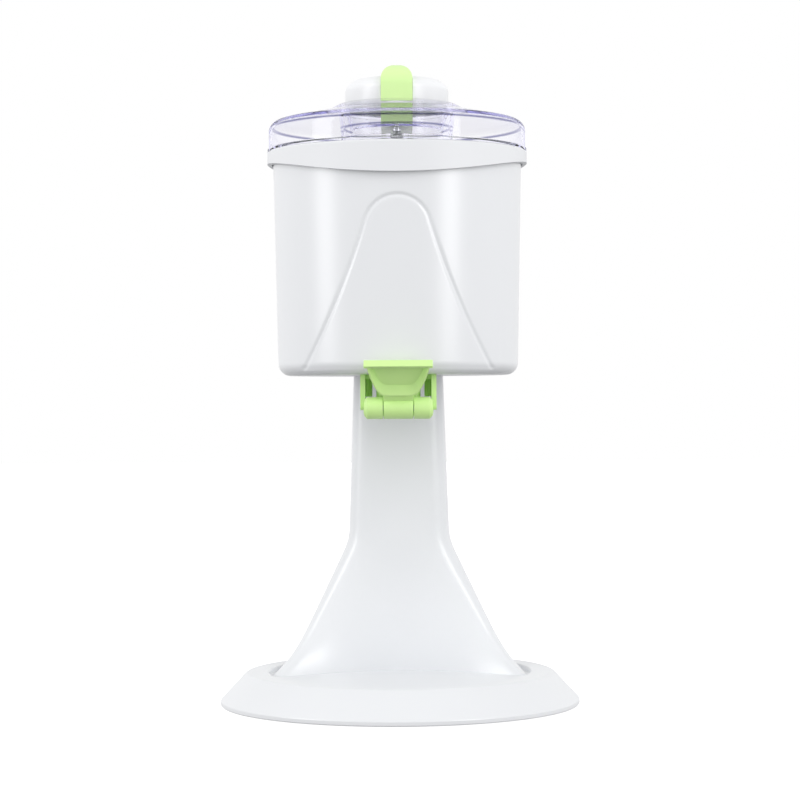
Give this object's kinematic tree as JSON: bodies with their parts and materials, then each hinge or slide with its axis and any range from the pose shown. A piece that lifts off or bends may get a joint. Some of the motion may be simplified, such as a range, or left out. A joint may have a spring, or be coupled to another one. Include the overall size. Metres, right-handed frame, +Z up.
{
  "type": "ice cream maker",
  "caption": "Table-top soft-serve ice cream maker: round base, flared column, bucket with freezer bowl and stirrer, clear lid with feed cap, and a lever-worked outlet valve.",
  "frame": {"origin": "middle of the base's underside, on the plane the rubber feet stand on", "axes": "+Z up, -Y to the front where the lever is, +X to the right seen from the front"},
  "size_m": [0.235, 0.235, 0.4165],
  "materials": {
    "white_plastic": "smooth glossy white moulding",
    "green_plastic": "satin lime green moulding",
    "clear_plastic": "clear polished moulding",
    "grey_plastic": "matt light grey moulding",
    "black_plastic": "matt black moulding",
    "dasher_plastic": "fine matt white moulding",
    "gear_nylon": "natural nylon",
    "gel": "sealed cooling gel",
    "rubber": "matt rubber",
    "steel": "plain bright steel",
    "motor_metal": "zinc plated motor case",
    "aluminium": "spun aluminium",
    "brass": "machined brass"
  },
  "bodies": {
    "stand": {"base_shell": "white_plastic", "base_plate": "grey_plastic", "rubber_feet": "rubber", "base_screws": "steel", "cord_gland": "rubber", "column_front": "white_plastic", "column_rear": "white_plastic", "column_screws": "steel", "foot_screws": "steel", "switch_bezel": "black_plastic", "lead_sleeve": "rubber", "bucket_shell": "white_plastic", "collar_ring": "white_plastic", "motor_plate": "steel", "motor_can": "motor_metal", "motor_screws": "steel", "plate_screws": "steel", "gear_axle": "steel", "spindle_bush": "brass", "drive_deck": "grey_plastic", "deck_screws": "steel", "outlet_block": "green_plastic", "outlet_screws": "steel", "star_nozzle": "green_plastic", "hinge_pin": "steel"},
    "rocker": {"switch_rocker": "black_plastic"},
    "rotor": {"motor_shaft": "steel", "motor_pinion": "brass"},
    "idler": {"compound_gear": "gear_nylon"},
    "spindle": {"drive_spindle": "steel", "spindle_gear": "gear_nylon"},
    "bowl": {"bowl_jacket": "grey_plastic", "bowl_liner": "aluminium", "coolant_gel": "gel", "shaft_seal": "rubber", "port_seal": "rubber"},
    "stirrer": {"dasher": "dasher_plastic", "auger_flight": "dasher_plastic", "scraper_blades": "green_plastic"},
    "lid": {"clear_lid": "clear_plastic", "lid_seal": "rubber"},
    "cap": {"feed_cup": "clear_plastic", "cap_dome": "white_plastic", "cap_handle": "green_plastic", "cap_screws": "steel"},
    "lever": {"pull_lever": "green_plastic", "gate_pin": "steel"},
    "gate": {"valve_gate": "white_plastic"}
  },
  "joints": [
    {"name": "lid_lift", "type": "slide", "parent": "stand", "child": "lid", "axis": [0, 0, 1], "range_m": [0, 0.4]},
    {"name": "cap_lift", "type": "slide", "parent": "lid", "child": "cap", "axis": [0, 0, 1], "range_m": [0, 0.06]},
    {"name": "bowl_lift", "type": "slide", "parent": "stand", "child": "bowl", "axis": [0, 0, 1], "range_m": [0, 0.148]},
    {"name": "spindle_spin", "type": "hinge", "parent": "stand", "child": "spindle", "pos_m": [0, 0, 0.24], "axis": [0, 0, 1], "continuous": true},
    {"name": "dasher_lift", "type": "slide", "parent": "spindle", "child": "stirrer", "axis": [0, 0, 1], "range_m": [0, 0.272]},
    {"name": "idler_spin", "type": "hinge", "parent": "stand", "child": "idler", "pos_m": [0.01679, 0.02486, 0.225], "axis": [0, 0, 1], "continuous": true},
    {"name": "motor_spin", "type": "hinge", "parent": "stand", "child": "rotor", "pos_m": [0, 0.046, 0.215], "axis": [0, 0, 1], "continuous": true},
    {"name": "lever_pull", "type": "hinge", "parent": "stand", "child": "lever", "pos_m": [0, -0.069, 0.1948], "axis": [1, 0, 0], "range_deg": [0, 72]},
    {"name": "gate_slide", "type": "slide", "parent": "stand", "child": "gate", "axis": [0, -1, 0], "range_m": [0, 0.0188]},
    {"name": "switch_rock", "type": "hinge", "parent": "stand", "child": "rocker", "pos_m": [0, 0.0685, 0.13], "axis": [1, 0, 0], "range_deg": [0, 16]}
  ],
  "couplings": [
    {"joint": "bowl_lift", "follows": "lid_lift", "ratio": 0.37},
    {"joint": "dasher_lift", "follows": "lid_lift", "ratio": 0.68},
    {"joint": "idler_spin", "follows": "spindle_spin", "ratio": -4},
    {"joint": "motor_spin", "follows": "spindle_spin", "ratio": 11.429},
    {"joint": "gate_slide", "follows": "lever_pull", "m_per_rad": 0.01495}
  ]
}
